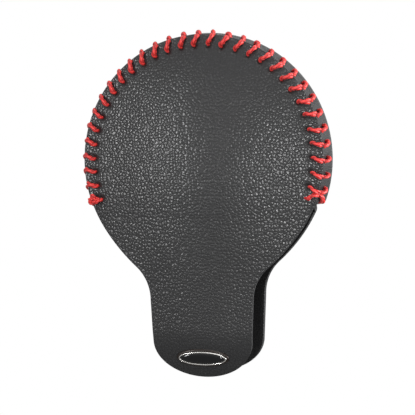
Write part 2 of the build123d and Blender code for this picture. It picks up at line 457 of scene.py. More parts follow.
@dataclass(frozen=True)
class LeatherBacking:
    """The leather's flesh side, skived smooth and dyed black: flat, dark and faintly napped."""

    name: str = "Black dyed leather backing"
    colour: str = "#242425"
    nap_colour: str = "#2e2e2f"
    nap_mm: float = 0.35

    def make(self) -> Material:
        """Build the material.

        Returns:
            The backing.
        """
        board = Board(self.name)
        uv = board.add("ShaderNodeUVMap", {"uv_map": "Pattern"}).outputs["UV"]
        nap = board.add(
            "ShaderNodeTexNoise", {"noise_dimensions": "2D"},
            {"Vector": uv, "Scale": 1 / (self.nap_mm * MM), "Detail": 5.0, "Roughness": 0.65},
        ).outputs["Fac"]
        colour = board.add(
            "ShaderNodeMix", {"data_type": "RGBA"},
            {"Factor": nap, 6: linear(self.colour), 7: linear(self.nap_colour)},
        ).outputs[2]
        bump = board.add(
            "ShaderNodeBump", {}, {"Height": nap, "Strength": 0.5, "Distance": 0.04 * MM}
        )
        board.set(Base_Color=colour, Normal=bump.outputs["Normal"])
        board.set(Roughness=0.78, IOR=1.45, Sheen_Weight=0.1, Sheen_Roughness=0.6)
        return board.material


@dataclass(frozen=True)
class CutEdge:
    """The raw knife-cut edge: a paler grey core of pressed fibres between two dark skins."""

    name: str = "Cut leather edge"
    core_colour: str = "#a09f9c"
    fibre_colour: str = "#72716f"
    fibre_mm: float = 0.18

    def make(self) -> Material:
        """Build the material.

        Returns:
            The cut edge.
        """
        board = Board(self.name)
        place = board.add("ShaderNodeTexCoord").outputs["Object"]
        fibre = board.add(
            "ShaderNodeTexNoise", {},
            {"Vector": place, "Scale": 1 / (self.fibre_mm * MM), "Detail": 4.0, "Roughness": 0.7},
        ).outputs["Fac"]
        colour = board.add(
            "ShaderNodeMix", {"data_type": "RGBA"},
            {"Factor": fibre, 6: linear(self.fibre_colour), 7: linear(self.core_colour)},
        ).outputs[2]
        bump = board.add(
            "ShaderNodeBump", {}, {"Height": fibre, "Strength": 0.7, "Distance": 0.05 * MM}
        )
        board.set(Base_Color=colour, Normal=bump.outputs["Normal"], Roughness=0.7, IOR=1.45)
        return board.material


@dataclass(frozen=True)
class WaxedThread:
    """Twisted polyester thread, dyed red and waxed.

    Fine plies run round each strand at a slant. The wax gives it a soft bright streak
    along the top, and the grooves between the plies are painted a darker red, as painted shade.
    """

    name: str = "Red waxed polyester thread"
    ply_colour: str = "#e03833"
    # Painted shade in the grooves between the plies.
    ply_groove_shade_colour: str = "#a3171a"
    plies: float = 2.0
    lay_mm: float = 1.5

    def make(self) -> Material:
        """Build the material.

        Returns:
            The thread.
        """
        board = Board(self.name)
        uv = board.add("ShaderNodeUVMap", {"uv_map": "Pattern"}).outputs["UV"]
        split = board.add("ShaderNodeSeparateXYZ", {}, {"Vector": uv})
        turns = board.add(
            "ShaderNodeMath", {"operation": "MULTIPLY"},
            {0: split.outputs["Y"], 1: 2 * math.pi / (self.lay_mm * MM)},
        ).outputs[0]
        around = board.add(
            "ShaderNodeMath", {"operation": "MULTIPLY_ADD"},
            {0: split.outputs["X"], 1: 2 * math.pi * self.plies / MM, 2: turns},
        ).outputs[0]
        wave = board.add("ShaderNodeMath", {"operation": "SINE"}, {0: around}).outputs[0]
        ply = board.add(
            "ShaderNodeMapRange", {"interpolation_type": "SMOOTHSTEP"},
            {"Value": wave, "From Min": -1.0, "From Max": 0.5},
        ).outputs["Result"]
        place = board.add("ShaderNodeTexCoord").outputs["Object"]
        fuzz = board.add(
            "ShaderNodeTexNoise", {}, {"Vector": place, "Scale": 1 / (0.12 * MM), "Detail": 2.0}
        ).outputs["Fac"]
        height = board.add(
            "ShaderNodeMath", {"operation": "MULTIPLY_ADD"}, {0: fuzz, 1: 0.35, 2: ply}
        ).outputs[0]
        # Painted shade: the grooves between the plies get the darker red.
        colour = board.add(
            "ShaderNodeMix", {"data_type": "RGBA"},
            {"Factor": ply, 6: linear(self.ply_groove_shade_colour), 7: linear(self.ply_colour)},
        ).outputs[2]
        bump = board.add(
            "ShaderNodeBump", {}, {"Height": height, "Strength": 0.7, "Distance": 0.03 * MM}
        )
        board.set(Base_Color=colour, Normal=bump.outputs["Normal"], Roughness=0.42, IOR=1.48)
        board.set(Sheen_Weight=0.15, Sheen_Roughness=0.35)
        return board.material


@dataclass(frozen=True)
class Glossy:
    """A moulded or plated part with a fine surface haze: plain colour, slight speckle."""

    name: str
    colour: str
    worn_colour: str
    metallic: float
    roughness: float
    coat: float = 0.0
    haze_mm: float = 1.5

    def make(self) -> Material:
        """Build the material.

        Returns:
            The glossy finish.
        """
        board = Board(self.name)
        place = board.add("ShaderNodeTexCoord").outputs["Object"]
        haze = board.add(
            "ShaderNodeTexNoise", {},
            {"Vector": place, "Scale": 1 / (self.haze_mm * MM), "Detail": 6.0, "Roughness": 0.7},
        ).outputs["Fac"]
        colour = board.add(
            "ShaderNodeMix", {"data_type": "RGBA"},
            {"Factor": haze, 6: linear(self.colour), 7: linear(self.worn_colour)},
        ).outputs[2]
        rough = board.add(
            "ShaderNodeMapRange", {},
            {"Value": haze, "To Min": self.roughness, "To Max": 1.6 * self.roughness},
        ).outputs["Result"]
        bump = board.add(
            "ShaderNodeBump", {}, {"Height": haze, "Strength": 0.15, "Distance": 0.01 * MM}
        )
        board.set(Base_Color=colour, Roughness=rough, Normal=bump.outputs["Normal"])
        board.set(Metallic=self.metallic, Coat_Weight=self.coat, Coat_Roughness=0.03)
        return board.material


# ------------------------------------------------------------------ the panels' pattern
class Side(Enum):
    """Which panel a shape belongs to, with the way its outer face looks along Y."""

    FRONT = -1
    BACK = 1


def tangent_arc(start: Array, heading: float, end: Array, count: int) -> tuple[Array, float]:
    """An arc that leaves a point at a given heading and reaches another point.

    Args:
        start: first point.
        heading: direction at the start, in radians.
        end: last point.
        count: number of points on the arc.

    Returns:
        The points, and the heading at the end.
    """
    chord = end - start
    half_turn = math.atan2(chord[1], chord[0]) - heading
    half_turn = (half_turn + math.pi) % (2 * math.pi) - math.pi
    radius = np.linalg.norm(chord) / (2 * math.sin(half_turn))
    centre = start + radius * np.array([-math.sin(heading), math.cos(heading)])
    angles = heading - math.pi / 2 + np.linspace(0, 2 * half_turn, count)
    points = centre + radius * np.stack([np.cos(angles), np.sin(angles)], axis=1)
    return points, heading + 2 * half_turn


@dataclass
class Keyhole:
    """Half of a panel's outline, from the top of the head to the tip of the tongue."""

    head_r: float
    tip_z: float
    rise: float = 0.0
    shoulder_angle: float = -35.0
    shoulder_end: tuple[float, float] = (20.3, -32.3)
    tongue_top: tuple[float, float] = (15.9, -42.0)
    tongue_end_x: float = 15.3
    tip_height: float = 10.8
    points: Array = field(init=False)
    spine: Array = field(init=False)
    length: float = field(init=False)

    def __post_init__(self) -> None:
        """Lay out the half outline at even steps, and the middle line that it hangs on."""
        head = np.radians(np.linspace(90, self.shoulder_angle, 400))
        circle = self.head_r * np.stack([np.cos(head), np.sin(head)], axis=1)
        hollow = np.array(self.shoulder_end) + (0, self.rise)
        leave = math.radians(self.shoulder_angle - 90)
        shoulder, turned = tangent_arc(circle[-1], leave, hollow, 80)
        top = np.array(self.tongue_top) + (0, self.rise)
        throat, _ = tangent_arc(hollow, turned, top, 80)
        tip_top = self.tip_z + self.tip_height
        side = np.linspace(top, (self.tongue_end_x, tip_top), 80)
        turn = np.linspace(0, math.pi / 2, 160)
        tip = np.stack(
            [self.tongue_end_x * np.cos(turn), tip_top - self.tip_height * np.sin(turn)], axis=1
        )
        line = np.concatenate([circle, shoulder[1:], throat[1:], side[1:], tip[1:]])
        along = np.concatenate([[0], np.cumsum(np.linalg.norm(np.diff(line, axis=0), axis=1))])
        self.length = float(along[-1])
        even = np.linspace(0, self.length, 1600)
        self.points = np.stack([np.interp(even, along, line[:, k]) for k in (0, 1)], axis=1)
        head_end, tip_start = along[len(circle) - 1], along[len(line) - len(tip)]
        self.spine = tip_top * smoothstep((even - head_end) / (tip_start - head_end))

    def ray(self, around: Array) -> tuple[Array, Array]:
        """Where each way out from the middle line starts and ends.

        Args:
            around: position round the panel, 0 at the top, 0.5 at the tip, 1 at the top again.

        Returns:
            Points on the middle line, and points on the edge, as X and Z.
        """
        half = 1 - np.abs(1 - 2 * around)
        place = half * (len(self.points) - 1)
        index = np.arange(len(self.points))
        x = np.interp(place, index, self.points[:, 0]) * np.where(around > 0.5, -1, 1)
        x = np.where(np.isclose(half, 1) | np.isclose(half, 0), 0, x)
        z = np.interp(place, index, self.points[:, 1])
        start = np.stack([np.zeros_like(x), np.interp(place, index, self.spine)], axis=1)
        return start, np.stack([x, z], axis=1)


@dataclass
class Stitching:
    """Where the needle holes and the runs of thread lie along the seam."""

    seam_r: float
    count: int = 31
    pitch: float = 7.15
    first: float = -14.4
    reach: float = 3.5
    slant: float = 1.0
    end_angle: float = -18.1
    sewn_low: float = -18.8
    sewn_fade: float = 5.0
    shade_spread: float = 0.45
    pit_depth: float = 0.5
    pit_spread: float = 0.5
    trough_depth: float = 0.16
    trough_spread: float = 0.9

    @property
    def angles(self) -> Array:
        """The angle of each stitch, in degrees, from the lowest on the right."""
        return self.first + self.pitch * np.arange(self.count)

    def off_stitch(self, angle: Array) -> Array:
        """Distance along the seam from each place to the stitch nearest to it."""
        index = np.clip(np.round((angle - self.first) / self.pitch), 0, self.count - 1)
        return np.radians(angle - self.first - index * self.pitch) * self.seam_r

    def sewn(self, angle: Array, fade: Array | float) -> Array:
        """How far a place on the margin is held by the seam.

        Args:
            angle: its angle in degrees, from -90 at the tongue to 90 at the top.
            fade: degrees over which the hold ends.

        Returns:
            1 where the panels are sewn, 0 where they are free.
        """
        return 1 - smoothstep((self.sewn_low - angle) / fade)

    def hole_shade(self, angle: Array, from_edge: Array) -> Array:
        """How much painted shade darkens the leather round the needle holes.

        Args:
            angle: angle round the seam in degrees, counted anticlockwise from +X.
            from_edge: distance from the cut edge, along the leather.

        Returns:
            1 in a hole and 0 away from it.
        """
        off = np.hypot(self.off_stitch(angle) - 0.5 * self.slant, from_edge - self.reach)
        return np.exp(-(off**2) / self.shade_spread)

    def pull(self, angle: Array, from_edge: Array) -> Array:
        """How deep the thread draws the leather in.

        Args:
            angle: angle round the seam in degrees, counted anticlockwise from +X.
            from_edge: distance from the cut edge, along the leather.

        Returns:
            The dent's depth: a pit at each needle hole and a shallow trough under the run.
        """
        share = np.clip(from_edge / self.reach, 0, 1)
        off_run = self.off_stitch(angle) - 0.5 * mix(-self.slant, self.slant, share)
        off_hole = np.hypot(off_run, from_edge - self.reach)
        off_path = np.hypot(off_run, np.maximum(from_edge - self.reach, 0))
        pit = self.pit_depth * np.exp(-(off_hole**2) / self.pit_spread)
        return pit + self.trough_depth * np.exp(-(off_path**2) / self.trough_spread)


@dataclass
class Panel:
    """One leather panel, grain side out, from the seam to the tip of its tongue."""

    side: Side
    outline: Keyhole
    stitching: Stitching
    bend: Vector
    leather: float = 1.2
    edge_round: float = 0.16
    blend_z: tuple[float, float] = (-14.5, -23.0)
    settle_width: float = 12.0
    settle_depth: float = 0.05
    slow_depth: float = 0.06
    columns: int = 720
    fine_rings: int = 16
    fine_step: float = 0.38
    coarse_rings: int = 30

    def settle(self, x: Array, z: Array) -> Array:
        """Slow unevenness of worn leather, so that no stretch is dead flat.

        Args:
            x: position across.
            z: position up.

        Returns:
            A small offset along Y.
        """
        # Three crossing waves, 40 to 130 mm long, turned differently on each panel.
        turn = 1.7 * self.side.value
        wave = np.sin(x / 6.1 + z / 9.7 + turn) + np.sin(x / 10.3 - z / 7.9 + 2 * turn)
        slow = np.sin(z / 13.0 + x / 21.0 + 3 * turn)
        return self.settle_depth * wave + self.slow_depth * slow

    def section(self, start: Array, edge: Array, from_edge: Array, share: Array) -> Array:
        """Points of the outer face.

        Args:
            start: where each way out leaves the middle line, as X and Z.
            edge: where it reaches the outline.
            from_edge: distance from the edge, measured on the flat pattern.
            share: distance from the middle line as a share of the whole way.

        Returns:
            Points in three dimensions.
        """
        raise NotImplementedError

    def place(self, around: Array, out: Array) -> tuple[Array, Array, Array]:
        """Drape the grid over the panel's outer face.

        Args:
            around: position round the outline.
            out: position from the middle line to the edge.

        Returns:
            Points, their places on the flat pattern, and how much painted shade the holes give them.
        """
        rings = self.fine_rings + self.coarse_rings
        ring = np.round(out * rings)
        start, edge = self.outline.ray(around)
        way = edge - start
        long = np.maximum(np.linalg.norm(way, axis=1), 1e-6)
        fine = self.fine_rings * self.fine_step
        inner = (long - fine) * np.minimum(ring / self.coarse_rings, 1)
        outer = fine - self.fine_step * np.maximum(ring - self.coarse_rings, 0)
        from_edge = np.where(ring >= self.coarse_rings, outer, long - inner)
        share = 1 - from_edge / long
        points = self.section(start, edge, from_edge, share)
        order = np.lexsort((out, np.round(around * self.columns)))
        grid = points[order].reshape(-1, rings + 1, 3)
        step = np.linalg.norm(np.diff(grid, axis=1), axis=2)
        along = np.concatenate([np.zeros((len(grid), 1)), np.cumsum(step, axis=1)], axis=1)
        travelled = np.empty(len(points))
        travelled[order] = along.ravel()
        pattern = start + way / long[:, None] * travelled[:, None]
        return points, pattern, self.stitching.hole_shade(round_angle(edge), from_edge)

    def make(self, name: str, grain: Material, backing: Material, cut: Material) -> Object:
        """Build the panel.

        Args:
            name: the object's name.
            grain: the outer face's material.
            backing: the inner face's material.
            cut: the cut edge's material.

        Returns:
            The finished panel.
        """
        rings = self.fine_rings + self.coarse_rings
        obj = mapped_grid(name, self.columns, rings, self.place)
        weld(obj)
        out = sum(p.normal.y * p.area for p in obj.data.polygons)
        if out * self.side.value < 0:
            edit(obj, bpy.ops.mesh.flip_normals)
        for material in (grain, backing, cut):
            obj.data.materials.append(material)
        apply_modifier(
            obj, "SOLIDIFY", thickness=self.leather * MM, offset=-1.0, use_quality_normals=True,
            material_offset=1, material_offset_rim=2,
        )
        apply_modifier(
            obj, "BEVEL", width=self.edge_round * MM, segments=2, limit_method="ANGLE",
            angle_limit=math.radians(55), material=2,
        )
        # dress() clears the slots, which puts every face back on the first one. So the whole
        # panel shows the grain, and the backing and the cut edge are not seen.
        dress(obj, grain, backing, cut)
        return obj


@dataclass
class FrontPanel(Panel):
    """The front panel: gently crowned, its tongue curling back at the tip."""

    crown: float = 3.4
    swell: float = 0.4
    swell_x: float = 5.0
    swell_wave: float = 80.0
    flare: float = 0.26
    flare_width: float = 3.0
    lean: float = 3.7
    curl_z: float = -50.5
    curl_r: float = 32.0

    def hang(self, z: Array) -> Array:
        """Depth of the flap's middle line below the bend.

        Args:
            z: heights below the bend.

        Returns:
            The depth at each height.
        """
        slope = math.radians(self.lean)
        straight = self.bend.y + (self.bend.z - np.maximum(z, self.curl_z)) * math.tan(slope)
        sine = np.clip(math.sin(slope) + (self.curl_z - z) / self.curl_r, math.sin(slope), 0.9)
        return straight + self.curl_r * (math.cos(slope) - np.sqrt(1 - sine**2))

    def section(self, start: Array, edge: Array, from_edge: Array, share: Array) -> Array:
        """Points of the outer face.

        Args:
            start: where each way out leaves the middle line, as X and Z.
            edge: where it reaches the outline.
            from_edge: distance from the edge, measured on the flat pattern.
            share: distance from the middle line as a share of the whole way.

        Returns:
            Points in three dimensions.
        """
        flat = start + (edge - start) * share[:, None]
        x, z = flat[:, 0], flat[:, 1]
        ball = (self.outline.head_r**2 + self.crown**2) / (2 * self.crown)
        middle = self.bend.y - (ball - math.sqrt(ball**2 - self.bend.z**2))
        dome = middle + ball - np.sqrt(ball**2 - x**2 - z**2)
        flap = self.hang(z) + ball - np.sqrt(ball**2 - x**2)
        y = np.where(z > self.bend.z, dome, flap)
        hold = self.stitching.sewn(side_angle(flat), self.stitching.sewn_fade)
        margin = np.clip(1 - from_edge / self.flare_width, 0, 1)
        dent = self.stitching.pull(round_angle(flat), from_edge)
        y = y + hold * (dent - self.flare * margin**2)
        swell = -self.swell * np.cos(2 * np.pi * (x - self.swell_x) / self.swell_wave)
        y = y + (self.settle(x, z) + swell) * smoothstep(from_edge / self.settle_width)
        return np.stack([x, y, z], axis=1)


@dataclass
class BackPanel(Panel):
    """The back panel: its sewn margin stands up as a wall, and its flap is free and bowed.

    The seam's hold ends over a narrow angle at the cut edge and over a wider one further
    in, so that the wall turns into the flap without a fold.
    """

    wall_start: tuple[float, float] = (36.9, -0.2)
    wall: float = 5.4
    wall_lean: float = 9.0
    corner_r: float = 8.0
    slope: float = 2.4
    lean: float = 2.0
    shoulder_bow: float = 110.0
    tongue_bow: float = 90.0
    bow_top: float = -22.0
    bow_height: float = 20.0
    edge_fade: float = 6.5
    margin_fade: tuple[float, float] = (0.3, 16.0)
    inner_fade: tuple[float, float, float] = (0.8, 5.0, 15.0)
    dent_fade: float = 3.0

    def wall_section(self, from_edge: Array) -> tuple[Array, Array]:
        """The sewn part's section.

        Args:
            from_edge: distance from the cut edge along the leather.

        Returns:
            Distance from the head's centre, and depth.
        """
        lean, slope = math.radians(self.wall_lean), math.radians(self.slope)
        r0 = self.wall_start[0] + self.wall * math.sin(lean)
        y0 = self.wall_start[1] + self.wall * math.cos(lean)
        turn = np.clip((from_edge - self.wall) / self.corner_r, 0, math.pi / 2 + lean - slope)
        corner_r = r0 - self.corner_r * (math.cos(lean) - np.cos(turn - lean))
        corner_y = y0 + self.corner_r * (np.sin(turn - lean) + math.sin(lean))
        end_turn = math.pi / 2 + lean - slope
        past = np.maximum(from_edge - self.wall - self.corner_r * end_turn, 0)
        end_r = r0 - self.corner_r * (math.cos(lean) - math.cos(end_turn - lean))
        dome = end_r / math.sin(slope)
        tilt = slope - past / dome
        dome_r = np.maximum(dome * np.sin(tilt), 0)
        dome_y = dome * (np.cos(tilt) - math.cos(slope))
        on_wall = from_edge < self.wall
        r = np.where(past > 0, dome_r, corner_r)
        r = np.where(on_wall, self.wall_start[0] + from_edge * math.sin(lean), r)
        y = corner_y + np.where(past > 0, dome_y, 0)
        y = np.where(on_wall, self.wall_start[1] + from_edge * math.cos(lean), y)
        return r, y

    @property
    def wall_length(self) -> float:
        """Length of the sewn section from the cut edge to the head's centre."""
        lean, slope = math.radians(self.wall_lean), math.radians(self.slope)
        end_turn = math.pi / 2 + lean - slope
        r0 = self.wall_start[0] + self.wall * math.sin(lean)
        end_r = r0 - self.corner_r * (math.cos(lean) - math.cos(end_turn - lean))
        return self.wall + self.corner_r * end_turn + end_r / math.sin(slope) * slope

    def section(self, start: Array, edge: Array, from_edge: Array, share: Array) -> Array:
        """Points of the outer face.

        Args:
            start: where each way out leaves the middle line, as X and Z.
            edge: where it reaches the outline.
            from_edge: distance from the edge, measured on the flat pattern.
            share: distance from the middle line as a share of the whole way.

        Returns:
            Points in three dimensions.
        """
        flat = start + (edge - start) * share[:, None]
        x, z = flat[:, 0], flat[:, 1]
        way = unit(edge)
        long = np.linalg.norm(edge - start, axis=1)
        fine = self.fine_rings * self.fine_step
        rest = np.maximum(from_edge - fine, 0) / np.maximum(long - fine, 1e-6)
        on_section = np.minimum(from_edge, fine) + rest * (self.wall_length - fine)
        r, wall_y = self.wall_section(on_section)
        rate, reach = self.margin_fade
        inner_rate, inner_from, inner_reach = self.inner_fade
        fade = self.edge_fade + rate * np.minimum(from_edge, reach)
        fade = fade + inner_rate * np.clip(from_edge - inner_from, 0, inner_reach)
        hold = self.stitching.sewn(side_angle(way), fade)
        near_edge = self.stitching.sewn(side_angle(way), self.stitching.sewn_fade)
        bow_share = smoothstep((self.bow_top - z) / self.bow_height)
        bow_r = mix(self.shoulder_bow, self.tongue_bow, bow_share)
        _, middle = self.wall_section(np.array([self.wall_length]))
        dome = (self.bend.z**2) / (2 * (middle[0] - self.bend.y))
        low = self.bend.y + (self.bend.z - z) * math.tan(math.radians(self.lean))
        back = np.where(z > self.bend.z, middle[0] - z**2 / (2 * dome), low)
        back = back - (bow_r - np.sqrt(bow_r**2 - x**2))
        dent = near_edge * self.stitching.pull(round_angle(way), on_section)
        standing = np.clip((self.wall + self.dent_fade - on_section) / self.dent_fade, 0, 1)
        r = r - dent * standing
        x = mix(x, way[:, 0] * r, hold)
        z = mix(z, way[:, 1] * r, hold)
        y = mix(back, wall_y, hold) - dent * (1 - standing)
        y = y + self.settle(x, z) * smoothstep(from_edge / self.settle_width)
        return np.stack([x, y, z], axis=1)


# ------------------------------------------------------------------ the seam
@dataclass
class Strand:
    """One run of doubled thread: two strands laid round each other along a path."""

    path: Sequence[tuple[float, float, float]]
    thick: float = 0.5
    twist: float = 0.4
    apart: float = 0.82
    sides: int = 10
    steps: int = 26
    step: float = 1e-3
    square: tuple[float, float, float] = (0.0, 0.31, 0.95)

    def turned(self, slant: float) -> "Strand":
        """The same run with its slant multiplied."""
        return replace(self, path=[(x, y * slant, z) for x, y, z in self.path])

    def line(self, share: Array) -> Array:
        """Points on a smooth curve through the path.

        Args:
            share: positions from 0 to 1.

        Returns:
            Points in three dimensions.
        """
        knots = np.array(self.path, float)
        at = np.linspace(0, 1, len(knots)) * (len(knots) - 1)
        place = np.clip(share, 0, 1) * (len(knots) - 1)
        padded = np.concatenate([[2 * knots[0] - knots[1]], knots, [2 * knots[-1] - knots[-2]]])
        i = np.minimum(place.astype(int), len(knots) - 2)
        t = (place - at[i])[:, None]
        p0, p1, p2, p3 = (padded[i + k] for k in range(4))
        return 0.5 * (
            2 * p1 + (p2 - p0) * t + (2 * p0 - 5 * p1 + 4 * p2 - p3) * t**2
            + (3 * p1 - p0 - 3 * p2 + p3) * t**3
        )

    def square_to(self, ahead: Array) -> tuple[Array, Array]:
        """Two directions square to each other and to the way ahead."""
        side = unit(np.cross(ahead, np.array(self.square)))
        return side, np.cross(side, ahead)

    def centre(self, share: Array, phase: float) -> Array:
        """Points on one strand's own middle line, which winds round the run.

        Args:
            share: positions along the run, from 0 to 1.
            phase: where the strand starts round the pair, in radians.

        Returns:
            Points in three dimensions.
        """
        ahead = unit(self.line(share + self.step) - self.line(share - self.step))
        side, up = self.square_to(ahead)
        turn = phase + 2 * math.pi * self.twist * share
        offset = np.cos(turn)[:, None] * side + np.sin(turn)[:, None] * up
        return self.line(share) + self.apart * self.thick * offset

    def drape(self, around: Array, along: Array, phase: float) -> tuple[Array, Array, Array]:
        """One strand's surface.

        Args:
            around: positions round the strand, from 0 to 1.
            along: positions along it, from 0 to 1.
            phase: where the strand starts round the pair, in radians.

        Returns:
            Points, their places round and along the strand, and no painted hole shade.
        """
        after = self.centre(np.minimum(along + 2 * self.step, 1), phase)
        before = self.centre(np.maximum(along - 2 * self.step, 0), phase)
        side, up = self.square_to(unit(after - before))
        turn = 2 * math.pi * around
        ring = np.cos(turn)[:, None] * side + np.sin(turn)[:, None] * up
        long = np.linalg.norm(np.diff(np.array(self.path, float), axis=0), axis=1).sum()
        points = self.centre(along, phase) + self.thick * ring
        return points, np.stack([around, along * long], axis=1), np.zeros_like(along)

    def make(self, name: str) -> Object:
        """Build the pair of strands.

        Args:
            name: the object's name.

        Returns:
            The mesh, both strands closed.
        """
        made = []
        for phase in (0.0, math.pi):
            strand = mapped_grid(name, self.sides, self.steps, partial(self.drape, phase=phase))
            weld(strand, close=True)
            made.append(strand)
        return join(name, made)


@dataclass
class Seam:
    """All the thread: runs on both panels, crossings inside, end stitches and the knot."""

    stitching: Stitching
    leather: float
    seed: int = 7
    thick: float = 0.5
    front_face: float = -1.55
    end_front: float = -2.2
    end_back: float = -1.6
    lay_angle: float = 0.3
    lay_slant: float = 0.18
    lay_slide: float = 0.1
    knot_size: float = 0.43
    knot_depth: float = 0.42
    knot_thick: float = 0.34
    knot_twist: float = 5.0

    def run_front(self) -> Strand:
        """The run that comes up in the front panel and goes over its edge."""
        r = self.stitching.seam_r
        hole, slant, lift = r - self.stitching.reach, self.stitching.slant, 1.25 * self.thick
        level = self.front_face
        path = [
            (hole + 0.7, 0.5 * slant, level + 1.2),
            (hole + 0.7, 0.5 * slant, level + 0.25),
            (hole + 1.15, 0.4 * slant, level - lift + 0.1),
            (r - 1.7, 0.0, level - lift),
            (r - 1.0, -0.35 * slant, level - lift + 0.12),
            (r - 0.45, -0.5 * slant, level + 0.25),
            (r - 0.35, -0.6 * slant, level + 1.2),
        ]
        return Strand(path, self.thick)

    def run_back(self) -> Strand:
        """The run that comes up in the back panel's wall and meets the seam."""
        r = self.stitching.seam_r
        hole, slant, lift = self.stitching.reach, self.stitching.slant, 0.75 * self.thick
        path = [
            (r - 0.9, 0.55 * slant, hole - 0.2),
            (r + 0.2, 0.55 * slant, hole - 0.15),
            (r + 0.42 + lift, 0.45 * slant, hole - 0.6),
            (r + 0.45 + lift, 0.0, hole - 1.4),
            (r + 0.25 + lift, -0.35 * slant, hole - 2.1),
            (r + 0.1, -0.55 * slant, 0.75),
            (r - 0.9, -0.6 * slant, 0.7),
        ]
        return Strand(path, self.thick)

    def run_inner_front(self) -> Strand:
        """The crossing under the front panel to its next hole."""
        r, slant = self.stitching.seam_r, self.stitching.slant
        next_hole = slant - math.radians(self.stitching.pitch) * r
        hole = r - self.stitching.reach
        path = [
            (r - 1.3, -0.8 * slant, 0.3),
            (r - 1.7, -1.6 * slant, 0.75),
            (r - 2.6, 0.5 * (next_hole - slant), 0.85),
            (hole + 0.3, next_hole + 0.5, 0.55),
            (hole + 0.1, next_hole + 0.1, -0.2),
        ]
        return Strand(path, self.thick, steps=16)

    def run_inner_back(self) -> Strand:
        """The crossing behind the back panel's wall to its next hole."""
        r, slant = self.stitching.seam_r, self.stitching.slant
        next_hole = slant - math.radians(self.stitching.pitch) * r
        inside = r + 0.7 - self.leather - self.thick
        path = [
            (inside + 0.2, -0.8 * slant, 1.3),
            (inside - 0.3, -1.6 * slant, 1.7),
            (inside - 0.5, 0.5 * (next_hole - slant), 2.6),
            (inside - 0.3, next_hole + 0.5, 3.6),
            (inside + 0.5, next_hole + 0.1, 4.1),
        ]
        return Strand(path, self.thick, steps=16)

    def around(self, strand: Strand, name: str, angles: Iterable[float]) -> Object:
        """Copies of one run round the seam, each laid a little differently.

        Args:
            strand: the run, with X out from the centre, Y along the seam and Z the depth.
            name: the object's name.
            angles: where the copies go, in degrees.

        Returns:
            One mesh with all the copies.
        """
        dice = random.Random(self.seed + len(name))
        master = strand.make(name)
        copies = []
        for angle in angles:
            copy = master.copy()
            copy.data = master.data.copy()
            bpy.context.collection.objects.link(copy)
            turn = math.radians(angle + dice.uniform(-self.lay_angle, self.lay_angle))
            lay = Matrix.Diagonal((1, 1 + dice.uniform(-self.lay_slant, self.lay_slant), 1, 1))
            shift = dice.uniform(-self.lay_slide, self.lay_slide)
            slide = Matrix.Translation((shift * MM, 0, 0))
            c, s = math.cos(turn), math.sin(turn)
            spin = Matrix(((c, -s, 0, 0), (0, 0, 1, 0), (s, c, 0, 0), (0, 0, 0, 1)))
            copy.data.transform(spin @ slide @ lay)
            copies.append(copy)
        bpy.data.objects.remove(master)
        made = join(name, copies)
        edit(made, lambda: bpy.ops.mesh.normals_make_consistent(inside=False))
        return made

    def knot(self, name: str) -> Object:
        """The overhand knot that starts the seam on the left.

        Args:
            name: the object's name.

        Returns:
            The knot, drawn tight over the first stitch.
        """
        angle = math.radians(self.stitching.angles[-1])
        out = Vector((math.cos(angle), 0, math.sin(angle)))
        along = Vector((-math.sin(angle), 0, math.cos(angle)))
        low, high = node_box("start_knot")
        middle = (low + high) / 2 + Vector((0, 0.05, 0))
        path = []
        for t in np.linspace(0, 2 * math.pi, 25):
            wide = (math.sin(t) + 2 * math.sin(2 * t)) * self.knot_size
            tall = (math.cos(t) - 2 * math.cos(2 * t)) * self.knot_size
            deep = -math.sin(3 * t) * self.knot_depth
            path.append(tuple(middle + out * wide + along * tall + Vector((0, deep, 0))))
        path.append(tuple(middle + out * 1.5 - along * 0.6 + Vector((0, 0.5, 0))))
        return Strand(path, self.knot_thick, self.knot_twist, steps=150).make(name)

    def build(self, thread: Material) -> None:
        """Make and place every piece of thread.

        Args:
            thread: the thread's material.
        """
        angles = list(self.stitching.angles)
        last = [self.stitching.end_angle]
        plan = {
            "front_stitches": (self.run_front(), angles),
            "back_stitches": (self.run_back(), angles),
            "inner_front_stitches": (self.run_inner_front(), angles[1:]),
            "inner_back_stitches": (self.run_inner_back(), angles[1:]),
            "front_end_stitch": (self.run_front().turned(self.end_front), last),
            "back_end_stitch": (self.run_back().turned(self.end_back), last),
        }
        for node, (strand, places) in plan.items():
            finish_piece(self.around(strand, f"thread_{node}", places), "crown", node, thread)
        finish_piece(self.knot("thread_start_knot"), "crown", "start_knot", thread)


def finish_piece(obj: Object, body: str, node: str, *materials: Material) -> None:
    """Dress a piece, ride it on its body and let it stand for its CAD node.

    Args:
        obj: the piece.
        body: the CAD body that it rides on.
        node: the CAD node that it stands for.
        materials: its materials, in slot order.
    """
    dress(obj, *materials)
    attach(obj, body)
    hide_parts(node)
    report(obj)


